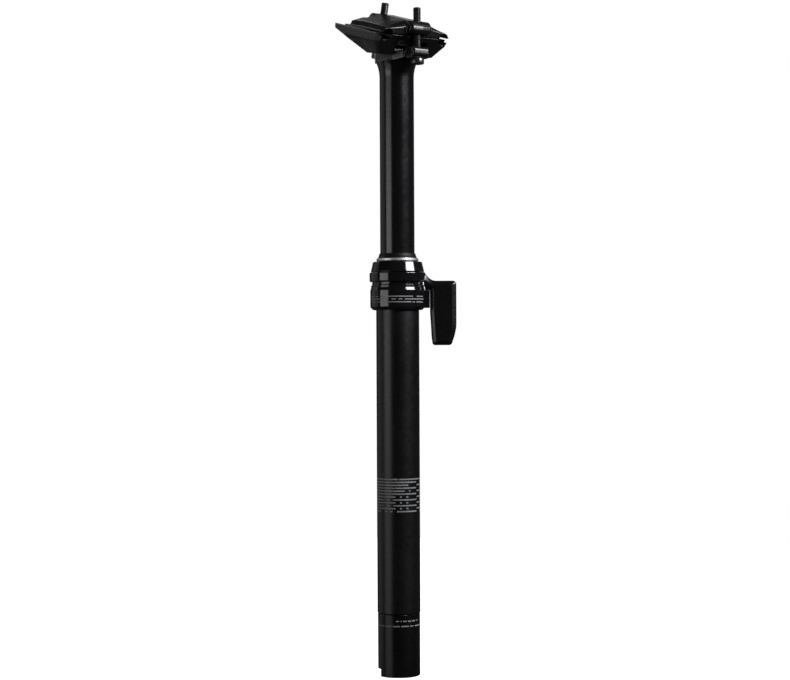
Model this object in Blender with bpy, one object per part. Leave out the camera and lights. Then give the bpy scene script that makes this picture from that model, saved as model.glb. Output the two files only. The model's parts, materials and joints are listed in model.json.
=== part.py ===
"""Height-adjustable bicycle seatpost with a hand lever on its collar and a two-bolt saddle clamp.

Metres, +Z up the post, +X forward, +Y to the bike's left. The origin is the centre of the foot's end face.
Run with: blender --background --python part.py
"""

import math

import bmesh
import bpy
from mathutils import Matrix, Vector

MM = 0.001
ROUND = 40  # sides of the large round pieces
SMALL = 24  # sides of the small round pieces
GAP = 0.15 * MM  # between pieces that are screwed or pressed together

# The two tubes and the foot
OUTER_R = 13.6 * MM
OUTER_BORE_R = 12.4 * MM
OUTER_BOTTOM = 39.8 * MM
OUTER_TOP = 257.0 * MM
FOOT_R = 13.35 * MM
FOOT_BORE_R = 11.0 * MM
FOOT_TOP = 39.5 * MM
SPIGOT_R = 12.2 * MM
SPIGOT_TOP = 44.0 * MM
FOOT_FLAT_DEPTH = 1.9 * MM
FOOT_FLAT_HEIGHT = 4.7 * MM
STANCHION_R = 10.9 * MM
STANCHION_BORE_R = 9.6 * MM
STANCHION_BOTTOM = 151.5 * MM
STANCHION_TOP = 386.5 * MM

# The collar and its lever
LEVER_ANGLE = math.radians(54.0)  # where the lever stands around the post
COLLAR_R = 17.3 * MM
COLLAR_BORE_R = 13.75 * MM
COLLAR_BOTTOM = 230.5 * MM
COLLAR_TOP = 248.0 * MM
LEVER_RING_R = 17.7 * MM
LEVER_RING_BORE_R = 13.95 * MM
LEVER_RING_BOTTOM = 248.3 * MM
LEVER_RING_TOP = 254.2 * MM
LEVER_THICKNESS = 8.0 * MM
LEVER_SWING = math.radians(18.0)
PADDLE_IN = 20.7 * MM
PADDLE_OUT = 37.1 * MM
PADDLE_TOP = 248.9 * MM
PADDLE_BOTTOM = 208.2 * MM
CAP_BOTTOM = 254.5 * MM
CAP_TOP = 260.9 * MM
WIPER_TOP = 266.2 * MM

# The release gear: the lever's ramp pushes a rod down the gap between the tubes
RELEASE_STROKE = 1.5 * MM
ROD_R = 11.7 * MM  # the push rod's distance from the post's axis
PUSH_ROD_RADIUS = 0.45 * MM
CAM_PIN_R = 0.8 * MM
CAM_PIN_Z = 251.9 * MM
ROCKER_PIVOT_R = 5.6 * MM
ROCKER_Z = 18.0 * MM

# The gas spring
PISTON_ROD_R = 4.0 * MM
CYLINDER_BORE_R = 7.5 * MM
CYLINDER_R = 8.5 * MM
CYLINDER_BOTTOM = 156.0 * MM
CYLINDER_TOP = 346.0 * MM

# The head and the saddle clamp, which rocks about a round boss on the head
BOSS_Z = 394.0 * MM
BOSS_R = 6.8 * MM
BOSS_WIDTH = 20.0 * MM
CLAMP_TILT = math.radians(14.75)  # nose down
RAIL_SPACING = 43.6 * MM
RAIL_HEIGHT = 11.4 * MM  # of the rails above the boss, square to the clamp
RAIL_GROOVE_R = 3.6 * MM
SEAM_HEIGHT = 12.0 * MM  # between the cradle and the upper clamp
CLAMP_GAP = 0.5 * MM
CLAMP_HALF_WIDTH = 25.8 * MM
NUT_R = 3.6 * MM
FRONT_NUT_LENGTH = 13.4 * MM
REAR_NUT_LENGTH = 17.4 * MM
BOLT_R = 2.45 * MM
BOLT_HOLE_R = 2.95 * MM
BOLT_HEAD_R = 4.2 * MM
BOLT_HEAD_HEIGHT = 3.6 * MM
WASHER_R = 3.4 * MM
WASHER_LENGTH = 12.8 * MM
WASHER_FLAT = 2.3 * MM  # the washer's flat below its axis, which the bolt head bears on
FRONT_WASHER = Vector((22.0 * MM, 0.0, 389.4 * MM))
REAR_WASHER = Vector((-19.2 * MM, 0.0, 397.5 * MM))
FRONT_NUT = Vector((18.1 * MM, 0.0, 17.2 * MM))  # along and above the clamp's own axes
REAR_NUT = Vector((-19.6 * MM, 0.0, 17.0 * MM))
FRONT_BOLT_LENGTH = 29.4 * MM  # above the washer's axis
REAR_BOLT_LENGTH = 29.9 * MM

COLOURS = {
    "tube_black": ((0.018, 0.018, 0.020), 0.42, 0.6),
    "stanchion_black": ((0.016, 0.016, 0.019), 0.28, 0.7),
    "gloss_black": ((0.012, 0.012, 0.014), 0.18, 0.4),
    "forged_black": ((0.020, 0.020, 0.022), 0.35, 0.6),
    "steel": ((0.55, 0.55, 0.56), 0.30, 1.0),
    "bolt_black": ((0.030, 0.030, 0.032), 0.38, 0.8),
    "rubber": ((0.015, 0.015, 0.015), 0.75, 0.0),
    "brass": ((0.70, 0.52, 0.25), 0.35, 1.0),
    "polymer": ((0.06, 0.06, 0.065), 0.55, 0.0),
}


def clear_scene():
    for thing in list(bpy.data.objects):
        bpy.data.objects.remove(thing, do_unlink=True)


def material(name):
    """The Principled material of that name, made the first time it is asked for."""
    found = bpy.data.materials.get(name)
    if found:
        return found
    colour, roughness, metallic = COLOURS[name]
    made = bpy.data.materials.new(name)
    made.use_nodes = True
    shader = made.node_tree.nodes["Principled BSDF"]
    shader.inputs["Base Color"].default_value = (*colour, 1.0)
    shader.inputs["Roughness"].default_value = roughness
    shader.inputs["Metallic"].default_value = metallic
    made.diffuse_color = (*colour, 1.0)
    return made


def link(name, data, colour=None, parent=None, location=(0, 0, 0), rotation=(0, 0, 0)):
    thing = bpy.data.objects.new(name, data)
    bpy.context.collection.objects.link(thing)
    thing.parent = parent
    thing.location = location
    thing.rotation_euler = rotation
    if colour:
        data.materials.append(material(colour))
        data.shade_smooth()
        data.set_sharp_from_angle(angle=math.radians(32))
    return thing


def empty(name, location, rotation=(0, 0, 0), parent=None):
    return link(name, None, None, parent, location, rotation)


def finished(mesh, name):
    """The bmesh as mesh data, with its doubles merged and its faces pointing out."""
    bmesh.ops.remove_doubles(mesh, verts=mesh.verts, dist=0.002 * MM)
    bmesh.ops.recalc_face_normals(mesh, faces=mesh.faces)
    data = bpy.data.meshes.new(name)
    mesh.to_mesh(data)
    mesh.free()
    return data


def turned(name, outline, sides=ROUND):
    """Mesh data of a closed (radius, height) outline turned about Z; an edge on the axis makes no face."""
    mesh = bmesh.new()
    corners = [mesh.verts.new((r, 0, z)) for r, z in outline]
    edges = []
    for here, there in zip(corners, corners[1:] + corners[:1]):
        if here.co.x > 0 or there.co.x > 0:
            edges.append(mesh.edges.new((here, there)))
    bmesh.ops.spin(
        mesh, geom=corners + edges, cent=(0, 0, 0), axis=(0, 0, 1), angle=2 * math.pi, steps=sides
    )
    return finished(mesh, name)


def ring_outline(inner, outer, bottom, top, chamfer=0.0):
    """A ring's outline, with its two outer corners chamfered."""
    if not chamfer:
        return [(inner, bottom), (outer, bottom), (outer, top), (inner, top)]
    return [
        (inner, bottom),
        (outer - chamfer, bottom),
        (outer, bottom + chamfer),
        (outer, top - chamfer),
        (outer - chamfer, top),
        (inner, top),
    ]


def rod_outline(radius, bottom, top, chamfer=0.0):
    """A solid rod's outline about Z."""
    return ring_outline(0.0, radius, bottom, top, chamfer)


def extruded(name, outline, low, high, axis="Y"):
    """Mesh data of a closed outline given as (x, z) points, or (x, y) for axis Z, extruded from low to high."""
    mesh = bmesh.new()
    if axis == "Y":
        base = [mesh.verts.new((x, low, z)) for x, z in outline]
        step = Vector((0, high - low, 0))
    else:
        base = [mesh.verts.new((x, y, low)) for x, y in outline]
        step = Vector((0, 0, high - low))
    face = mesh.faces.new(base)
    grown = bmesh.ops.extrude_face_region(mesh, geom=[face])
    moved = [v for v in grown["geom"] if isinstance(v, bmesh.types.BMVert)]
    bmesh.ops.translate(mesh, verts=moved, vec=step)
    return finished(mesh, name)


def block(name, low, high):
    """Mesh data of a box between two corners."""
    mesh = bmesh.new()
    middle = (Vector(low) + Vector(high)) / 2
    size = Vector(high) - Vector(low)
    bmesh.ops.create_cube(mesh, size=1.0, matrix=Matrix.Translation(middle) @ Matrix.Diagonal((*size, 1.0)))
    return finished(mesh, name)


def crosswise(name, radius, length, sides=SMALL, centre=(0.0, 0.0)):
    """Mesh data of a cylinder along Y about (x, z) centre."""
    outline = arc(centre, radius, 0.0, 360.0 * (sides - 1) / sides, sides - 1)
    return extruded(name, outline, -length / 2, length / 2)


def lofted(name, sections):
    """Mesh data bridging a list of closed loops of the same number of points, with both ends filled."""
    mesh = bmesh.new()
    loops = [[mesh.verts.new(p) for p in section] for section in sections]
    for low, high in zip(loops, loops[1:]):
        for i in range(len(low)):
            j = (i + 1) % len(low)
            mesh.faces.new((low[i], low[j], high[j], high[i]))
    mesh.faces.new(reversed(loops[0]))
    mesh.faces.new(loops[-1])
    bent = [face for face in mesh.faces if len(face.verts) == 4]
    bmesh.ops.triangulate(mesh, faces=bent)
    return finished(mesh, name)


def arc(centre, radius, start, end, steps):
    """Points along an arc, with its angles in degrees."""
    points = []
    for i in range(steps + 1):
        a = math.radians(start + (end - start) * i / steps)
        points.append((centre[0] + radius * math.cos(a), centre[1] + radius * math.sin(a)))
    return points


def shaped(thing, data, operation, location=None, rotation=None):
    """Cut, join or keep with another solid, which stands in the same frame unless it is placed."""
    tool = link(f"{thing.name}_{operation.lower()}_{len(thing.modifiers)}", data, None, thing.parent)
    tool.location = thing.location if location is None else location
    tool.rotation_euler = thing.rotation_euler if rotation is None else rotation
    tool.hide_render = True
    tool.display_type = "WIRE"
    step = thing.modifiers.new(tool.name, "BOOLEAN")
    step.operation = operation
    step.object = tool
    return tool


def cut(thing, data, location=None, rotation=None):
    shaped(thing, data, "DIFFERENCE", location, rotation)


def join(thing, data, location=None, rotation=None):
    return shaped(thing, data, "UNION", location, rotation)


def keep(thing, data, location=None, rotation=None):
    shaped(thing, data, "INTERSECT", location, rotation)


def softened(thing, width, segments=2, angle=40.0):
    step = thing.modifiers.new("rounded_edges", "BEVEL")
    step.width = width
    step.segments = segments
    step.limit_method = "ANGLE"
    step.angle_limit = math.radians(angle)
    return step


def around(angle):
    """The rotation that carries +X to that direction around the post."""
    return (0, 0, angle)


def out_from_axis(radius, angle, height):
    """The point that far out from the post's axis in that direction."""
    return Vector((radius * math.cos(angle), radius * math.sin(angle), height))


OPPOSITE = LEVER_ANGLE + math.pi  # the release gear stands across the post from the lever


def build_foot():
    sleeve_outline = [
        (FOOT_BORE_R, 0),
        (FOOT_R - 0.6 * MM, 0),
        (FOOT_R, 0.6 * MM),
        (FOOT_R, FOOT_TOP - 0.4 * MM),
        (FOOT_R - 0.4 * MM, FOOT_TOP),
        (SPIGOT_R, FOOT_TOP),
        (SPIGOT_R, SPIGOT_TOP),
        (FOOT_BORE_R, SPIGOT_TOP),
    ]
    sleeve = link("foot_sleeve", turned("foot_sleeve", sleeve_outline), "tube_black")
    sleeve.rotation_euler = around(OPPOSITE)
    flat_plane = FOOT_R - FOOT_FLAT_DEPTH
    flat = block("foot_flat", (flat_plane, -FOOT_R, -MM), (FOOT_R + MM, FOOT_R, FOOT_FLAT_HEIGHT))
    cut(sleeve, flat)
    channel = block("rod_channel", (10.0 * MM, -1.15 * MM, 11.5 * MM), (12.35 * MM, 1.15 * MM, SPIGOT_TOP + MM))
    cut(sleeve, channel)

    plug = link("foot_plug", turned("foot_plug", rod_outline(FOOT_BORE_R - GAP, 0, 6.5 * MM, 0.5 * MM)), "gloss_black")
    plug.rotation_euler = around(OPPOSITE)
    for side in (-1, 1):
        hole = turned("plug_pin_hole", rod_outline(1.2 * MM, -MM, 2.4 * MM), 12)
        cut(plug, hole, out_from_axis(side * 6.5 * MM, OPPOSITE, 0))

    housing_outline = [
        (4.15 * MM, 7.0 * MM),
        (FOOT_BORE_R - GAP, 7.0 * MM),
        (FOOT_BORE_R - GAP, 39.8 * MM),
        (4.15 * MM, 39.8 * MM),
    ]
    housing = link("actuator_housing", turned("actuator_housing", housing_outline, SMALL), "polymer")
    housing.rotation_euler = around(OPPOSITE)
    cut(housing, block("rocker_chamber", (-3.4 * MM, -2.4 * MM, 6.0 * MM), (13.0 * MM, 2.4 * MM, 23.6 * MM)))
    cut(housing, crosswise("rocker_pin_hole", 1.2 * MM, 24.0 * MM, 12, (ROCKER_PIVOT_R, ROCKER_Z)))

    pin = crosswise("rocker_pin", 1.05 * MM, 17.0 * MM, 12, (ROCKER_PIVOT_R, ROCKER_Z))
    link("rocker_pin", pin, "steel", rotation=around(OPPOSITE))
    build_return_spring()


def build_return_spring():
    """A coil under the rocker's outer arm, which pushes the lever back."""
    turns, per_turn = 5, 10
    bottom, top, coil_r, centre = 7.05 * MM, 16.35 * MM, 1.25 * MM, 8.9 * MM
    wire = bpy.data.curves.new("lever_return_spring", "CURVE")
    wire.dimensions = "3D"
    wire.bevel_depth = 0.25 * MM
    wire.bevel_resolution = 1
    wire.use_fill_caps = True
    count = turns * per_turn + 1
    path = wire.splines.new("POLY")
    path.points.add(count - 1)
    for i in range(count):
        a = 2 * math.pi * i / per_turn
        height = bottom + 0.25 * MM + (top - bottom - 0.5 * MM) * i / (count - 1)
        path.points[i].co = (centre + coil_r * math.cos(a), coil_r * math.sin(a), height, 1.0)
    spring = bpy.data.objects.new("lever_return_spring", wire)
    bpy.context.collection.objects.link(spring)
    spring.rotation_euler = around(OPPOSITE)
    wire.materials.append(material("steel"))


def build_outer_tube():
    outline = ring_outline(OUTER_BORE_R, OUTER_R, OUTER_BOTTOM, OUTER_TOP)
    tube = link("outer_tube", turned("outer_tube", outline), "tube_black")
    tube.rotation_euler = around(OPPOSITE)
    window = block(
        "cam_window",
        (11.0 * MM, -1.15 * MM, CAM_PIN_Z - RELEASE_STROKE - CAM_PIN_R - 0.3 * MM),
        (15.0 * MM, 1.15 * MM, CAM_PIN_Z + CAM_PIN_R + 0.3 * MM),
    )
    cut(tube, window)
    for i in range(3):
        keyway = block("keyway", (10.0 * MM, -1.45 * MM, OUTER_BOTTOM - MM), (13.05 * MM, 1.45 * MM, 188.0 * MM))
        cut(tube, keyway, rotation=around(key_angle(i)))


def key_angle(i):
    return LEVER_ANGLE + i * 2 * math.pi / 3


def build_collar():
    body_outline = [
        (COLLAR_BORE_R, COLLAR_BOTTOM),
        (15.6 * MM, COLLAR_BOTTOM),
        (COLLAR_R, COLLAR_BOTTOM + 1.8 * MM),
        (COLLAR_R, 242.9 * MM),
        (16.75 * MM, 244.7 * MM),
        (16.7 * MM, 246.0 * MM),
        (16.1 * MM, 246.4 * MM),
        (16.1 * MM, COLLAR_TOP),
        (COLLAR_BORE_R, COLLAR_TOP),
    ]
    body = link("collar_body", turned("collar_body", body_outline), "gloss_black")
    body.rotation_euler = around(LEVER_ANGLE)
    lug_out = PADDLE_IN - 0.35 * MM
    half = 11.0
    inner = [(15.0 * MM, -3.4 * MM), (15.0 * MM, 3.4 * MM)]
    outline = inner + arc((0, 0), lug_out, half, -half, 6)
    join(body, extruded("lever_lug", outline, 231.8 * MM, 242.8 * MM, "Z"))

    head_outline = [
        (COLLAR_BORE_R, CAP_BOTTOM),
        (17.0 * MM, CAP_BOTTOM),
        (15.5 * MM, CAP_TOP),
        (13.15 * MM, CAP_TOP),
        (13.15 * MM, 258.6 * MM),
        (11.4 * MM, 258.6 * MM),
        (11.4 * MM, OUTER_TOP + 0.3 * MM),
        (COLLAR_BORE_R, OUTER_TOP + 0.3 * MM),
    ]
    link("seal_head", turned("seal_head", head_outline), "gloss_black", rotation=around(OPPOSITE))

    wiper_outline = [
        (11.05 * MM, 258.8 * MM),
        (13.0 * MM, 258.8 * MM),
        (13.0 * MM, 261.15 * MM),
        (12.0 * MM, 261.3 * MM),
        (12.0 * MM, 263.3 * MM),
        (12.3 * MM, 263.6 * MM),
        (11.7 * MM, 264.9 * MM),
        (11.4 * MM, WIPER_TOP),
        (11.05 * MM, WIPER_TOP),
    ]
    link("wiper_seal", turned("wiper_seal", wiper_outline), "rubber", rotation=around(OPPOSITE))
    snap = ring_outline(12.15 * MM, 13.27 * MM, 261.4 * MM, 263.1 * MM, 0.3 * MM)
    link("snap_ring", turned("snap_ring", snap), "steel", rotation=around(OPPOSITE))

    guide = turned("follower_guide", ring_outline(11.1 * MM, 12.25 * MM, 241.0 * MM, 256.7 * MM))
    guide = link("follower_guide", guide, "polymer", rotation=around(OPPOSITE))
    cut(guide, block("follower_slot", (10.0 * MM, -1.75 * MM, 240.0 * MM), (14.0 * MM, 1.75 * MM, 258.0 * MM)))

    bush = turned("upper_bush", ring_outline(11.0 * MM, 12.25 * MM, 205.0 * MM, 240.7 * MM))
    bush = link("upper_bush", bush, "polymer", rotation=around(OPPOSITE))
    cut(bush, block("bush_split", (10.0 * MM, -1.2 * MM, 204.0 * MM), (14.0 * MM, 1.2 * MM, 242.0 * MM)))


def lever_outline():
    """The lever's arm and paddle seen from the side, as (distance from the post's axis, height)."""
    corner_r = 2.2 * MM
    fillet = 0.8 * MM
    arm_under = 243.3 * MM
    points = [(15.2 * MM, 253.7 * MM), (17.4 * MM, 253.6 * MM)]
    for i in range(1, 6):  # the arm sweeps down from the ring to the paddle's top edge
        s = i / 6
        points.append((17.4 * MM + 7.0 * MM * s, PADDLE_TOP + (253.6 * MM - PADDLE_TOP) * (1 - s) ** 2.2))
    points += arc((PADDLE_OUT - corner_r, PADDLE_TOP - corner_r), corner_r, 90, 0, 4)
    points += [
        (PADDLE_OUT, 221.5 * MM),
        (36.55 * MM, 217.2 * MM),
        (35.6 * MM, 213.3 * MM),
        (34.6 * MM, 210.6 * MM),
    ]
    points += arc((32.2 * MM, PADDLE_BOTTOM + 2.4 * MM), 2.4 * MM, -10, -90, 3)
    points += [
        (22.6 * MM, PADDLE_BOTTOM),
        (22.0 * MM, 209.0 * MM),
        (21.5 * MM, 213.3 * MM),
        (21.1 * MM, 221.0 * MM),
        (PADDLE_IN, 229.0 * MM),
        (PADDLE_IN, arm_under - fillet),
    ]
    points += arc((PADDLE_IN - fillet, arm_under - fillet), fillet, 30, 90, 2)
    points += [(15.2 * MM, arm_under)]
    return points


def build_lever():
    """One turning piece: the ring, with its arm and the paddle that hangs from it."""
    ring = ring_outline(LEVER_RING_BORE_R, LEVER_RING_R, LEVER_RING_BOTTOM, LEVER_RING_TOP, 0.7 * MM)
    lever = link("lever_ring", turned("lever_ring", ring), "gloss_black", rotation=around(LEVER_ANGLE))
    half = LEVER_THICKNESS / 2
    blade = join(lever, extruded("lever_blade", lever_outline(), -half, half))
    softened(blade, 1.3 * MM, 2)
    clearance = [(0, 240.0 * MM), (17.6 * MM, 240.0 * MM), (17.6 * MM, 245.2 * MM), (17.0 * MM, 245.8 * MM)]
    clearance += [(17.0 * MM, LEVER_RING_BOTTOM), (0, LEVER_RING_BOTTOM)]
    cut(blade, turned("collar_clearance", clearance))
    cut(lever, cam_ramp(), rotation=around(OPPOSITE))


def cam_ramp():
    """The pocket in the lever ring whose sloping roof pushes the cam pin down as the ring turns."""
    past = math.radians(5.0)
    steps = 7
    roof = CAM_PIN_Z + CAM_PIN_R + 0.2 * MM
    rows = []
    for i in range(steps + 1):
        a = past - (LEVER_SWING + 2 * past) * i / steps
        high = min(roof + a * RELEASE_STROKE / LEVER_SWING, LEVER_RING_TOP - 0.9 * MM)
        row = []
        for r, z in ((13.0 * MM, 247.0 * MM), (16.3 * MM, 247.0 * MM), (16.3 * MM, high), (13.0 * MM, high)):
            row.append((r * math.cos(a), r * math.sin(a), z))
        rows.append(row)
    return lofted("cam_ramp", rows)


def build_release_gear():
    """The follower and push rod, the rocker in the foot, and the pin up the hollow piston rod."""
    body = block(
        "cam_follower", (11.25 * MM, -1.45 * MM, 246.4 * MM), (12.2 * MM, 1.45 * MM, CAM_PIN_Z + 2.2 * MM)
    )
    follower = link("cam_follower", body, "steel", rotation=around(OPPOSITE))
    stub = turned("cam_pin", rod_outline(CAM_PIN_R, 11.6 * MM, 15.9 * MM), 12)
    join(follower, stub, (0, 0, CAM_PIN_Z), (0, math.pi / 2, OPPOSITE))

    tip = ROCKER_Z + 1.1 * MM + 0.15 * MM
    rod = [(0, tip), (0.15 * MM, tip), (PUSH_ROD_RADIUS, tip + 1.2 * MM)]
    rod += [(PUSH_ROD_RADIUS, 246.1 * MM), (0, 246.1 * MM)]
    link("push_rod", turned("push_rod", rod, 8), "steel", location=out_from_axis(ROD_R, OPPOSITE, 0))

    rocker_outline = [
        (-ROCKER_PIVOT_R - 1.0 * MM, -1.1 * MM),
        (12.1 * MM - ROCKER_PIVOT_R, -1.1 * MM),
        (12.1 * MM - ROCKER_PIVOT_R, 1.1 * MM),
        (-ROCKER_PIVOT_R - 1.0 * MM, 1.1 * MM),
    ]
    at = out_from_axis(ROCKER_PIVOT_R, OPPOSITE, ROCKER_Z)
    rocker_data = extruded("rocker", rocker_outline, -0.9 * MM, 0.9 * MM)
    rocker = link("rocker", rocker_data, "steel", location=at, rotation=around(OPPOSITE))
    join(rocker, crosswise("rocker_boss", 2.3 * MM, 3.6 * MM, 16))
    cut(rocker, crosswise("rocker_bore", 1.2 * MM, 6.0 * MM, 12))

    pin_bottom = ROCKER_Z + 1.1 * MM + 0.2 * MM
    pin = [(0, pin_bottom), (0.3 * MM, pin_bottom), (0.95 * MM, pin_bottom + 1.5 * MM)]
    pin += [(0.95 * MM, 180.6 * MM), (0, 180.6 * MM)]
    link("release_pin", turned("release_pin", pin, 12), "steel")
    poppet = [(0, 182.3 * MM), (2.2 * MM, 182.3 * MM), (2.2 * MM, 184.0 * MM), (1.4 * MM, 185.6 * MM), (0, 185.6 * MM)]
    link("valve_poppet", turned("valve_poppet", poppet, 16), "brass")


def build_gas_spring():
    """The fixed rod and piston, and the cylinder that rides with the stanchion."""
    rod = [
        (1.3 * MM, 24.0 * MM),
        (PISTON_ROD_R, 24.0 * MM),
        (PISTON_ROD_R, 167.6 * MM),
        (3.0 * MM, 167.6 * MM),
        (3.0 * MM, 182.0 * MM),
        (1.3 * MM, 182.0 * MM),
    ]
    link("piston_rod", turned("piston_rod", rod, SMALL), "steel")
    nut = turned("rod_lock_nut", ring_outline(PISTON_ROD_R + GAP, 7.2 * MM, 40.0 * MM, 43.2 * MM, 0.4 * MM), 6)
    cut(link("rod_lock_nut", nut, "steel"), turned("nut_bore", rod_outline(4.15 * MM, 39.0 * MM, 45.0 * MM), SMALL))
    bumper = ring_outline(4.2 * MM, 7.4 * MM, 43.4 * MM, 46.8 * MM, 0.8 * MM)
    link("bottom_out_bumper", turned("bottom_out_bumper", bumper, SMALL), "rubber")
    bumper = ring_outline(4.2 * MM, 6.9 * MM, 164.2 * MM, 167.4 * MM, 0.7 * MM)
    link("top_out_bumper", turned("top_out_bumper", bumper, SMALL), "rubber")
    piston = [
        (3.12 * MM, 167.9 * MM),
        (7.3 * MM, 167.9 * MM),
        (7.3 * MM, 171.8 * MM),
        (5.9 * MM, 171.8 * MM),
        (5.9 * MM, 174.2 * MM),
        (7.3 * MM, 174.2 * MM),
        (7.3 * MM, 178.0 * MM),
        (3.12 * MM, 178.0 * MM),
    ]
    link("gas_piston", turned("gas_piston", piston, SMALL), "brass")
    link("piston_seal", turned("piston_seal", o_ring(6.7 * MM, 0.68 * MM, 173.0 * MM), SMALL), "rubber")
    nut = ring_outline(3.12 * MM, 4.9 * MM, 178.2 * MM, 181.4 * MM)
    link("piston_nut", turned("piston_nut", nut, 12), "steel")

    tube = ring_outline(CYLINDER_BORE_R, CYLINDER_R, CYLINDER_BOTTOM, CYLINDER_TOP)
    link("cylinder_tube", turned("cylinder_tube", tube, SMALL), "steel")
    low = [
        (4.12 * MM, 152.3 * MM),
        (CYLINDER_R, 152.3 * MM),
        (CYLINDER_R, CYLINDER_BOTTOM - GAP),
        (CYLINDER_BORE_R - 0.1 * MM, CYLINDER_BOTTOM - GAP),
        (CYLINDER_BORE_R - 0.1 * MM, 163.9 * MM),
        (5.9 * MM, 163.9 * MM),
        (5.9 * MM, 159.0 * MM),
        (4.12 * MM, 159.0 * MM),
    ]
    link("cylinder_lower_head", turned("cylinder_lower_head", low, SMALL), "steel")
    seal = ring_outline(4.12 * MM, 5.75 * MM, 159.2 * MM, 163.0 * MM, 0.3 * MM)
    link("rod_seal", turned("rod_seal", seal, SMALL), "rubber")
    plug = [
        (0, 334.0 * MM),
        (CYLINDER_BORE_R - 0.1 * MM, 334.0 * MM),
        (CYLINDER_BORE_R - 0.1 * MM, CYLINDER_TOP + GAP),
        (CYLINDER_R, CYLINDER_TOP + GAP),
        (CYLINDER_R, 349.6 * MM),
        (4.0 * MM, 349.6 * MM),
        (4.0 * MM, 362.0 * MM),
        (0, 362.0 * MM),
    ]
    link("cylinder_top_plug", turned("cylinder_top_plug", plug, SMALL), "steel")
    floating = [
        (0, 283.0 * MM),
        (7.3 * MM, 283.0 * MM),
        (7.3 * MM, 285.8 * MM),
        (5.9 * MM, 285.8 * MM),
        (5.9 * MM, 288.2 * MM),
        (7.3 * MM, 288.2 * MM),
        (7.3 * MM, 291.0 * MM),
        (0, 291.0 * MM),
    ]
    link("floating_piston", turned("floating_piston", floating, SMALL), "polymer")
    seal = turned("floating_piston_seal", o_ring(6.7 * MM, 0.68 * MM, 287.0 * MM), SMALL)
    link("floating_piston_seal", seal, "rubber")


def o_ring(radius, thickness, height):
    """The round section of a seal, as a six-sided outline."""
    return arc((radius, height), thickness, 0, 300, 5)


def build_stanchion():
    outline = [
        (STANCHION_BORE_R, STANCHION_BOTTOM),
        (STANCHION_R, STANCHION_BOTTOM),
        (STANCHION_R, 377.5 * MM),
        (11.05 * MM, 380.0 * MM),
        (11.5 * MM, 382.6 * MM),
        (12.2 * MM, 384.9 * MM),
        (12.8 * MM, STANCHION_TOP),
        (STANCHION_BORE_R, STANCHION_TOP),
    ]
    tube = link("stanchion_tube", turned("stanchion_tube", outline), "stanchion_black", rotation=around(OPPOSITE))
    bush = turned("lower_bush", ring_outline(11.0 * MM, 12.2 * MM, 154.0 * MM, 168.0 * MM))
    bush = link("lower_bush", bush, "polymer", rotation=around(OPPOSITE))
    cut(bush, block("bush_split", (10.0 * MM, -1.2 * MM, 153.0 * MM), (14.0 * MM, 1.2 * MM, 169.0 * MM)))
    for i in range(3):
        pocket = block("key_pocket", (10.15 * MM, -1.4 * MM, 171.7 * MM), (12.0 * MM, 1.4 * MM, 184.3 * MM))
        cut(tube, pocket, rotation=around(key_angle(i)))
        key = block("guide_key", (10.35 * MM, -1.2 * MM, 172.0 * MM), (12.85 * MM, 1.2 * MM, 184.0 * MM))
        link(f"guide_key_{i + 1}", key, "brass", rotation=around(key_angle(i)))


def ear_outline():
    """The head's boss and its two ears seen from the side, as (forward, height)."""
    base = BOSS_Z - 7.1 * MM
    front, rear = FRONT_WASHER, REAR_WASHER
    points = [
        (-11.6 * MM, base),
        (11.6 * MM, base),
        (16.4 * MM, base + 0.8 * MM),
        (front.x - 3.6 * MM, front.z - 1.5 * MM),
        (front.x + 3.4 * MM, front.z - 1.5 * MM),
        (front.x + 4.6 * MM, front.z - 0.8 * MM),
        (front.x + 4.9 * MM, front.z + 0.4 * MM),
        (front.x + 4.9 * MM, front.z + 2.8 * MM),
        (front.x + 4.2 * MM, front.z + 4.2 * MM),
        (front.x + 2.8 * MM, front.z + 4.7 * MM),
        (front.x - 2.4 * MM, front.z + 4.7 * MM),
        (front.x - 5.2 * MM, front.z + 3.3 * MM),
        (7.4 * MM, front.z + 3.1 * MM),
    ]
    points += arc((0, BOSS_Z), BOSS_R, -8, 172, 16)
    points += [
        (-7.6 * MM, BOSS_Z + 1.1 * MM),
        (-10.4 * MM, BOSS_Z + 2.0 * MM),
        (-17.4 * MM, rear.z + 4.0 * MM),
        (rear.x + 1.2 * MM, rear.z + 4.8 * MM),
        (rear.x - 3.4 * MM, rear.z + 4.2 * MM),
        (rear.x - 4.9 * MM, rear.z + 2.6 * MM),
        (rear.x - 4.4 * MM, rear.z + 1.3 * MM),
        (rear.x + 4.1 * MM, rear.z - 1.1 * MM),
        (-14.4 * MM, rear.z - 4.4 * MM),
    ]
    return points


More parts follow.
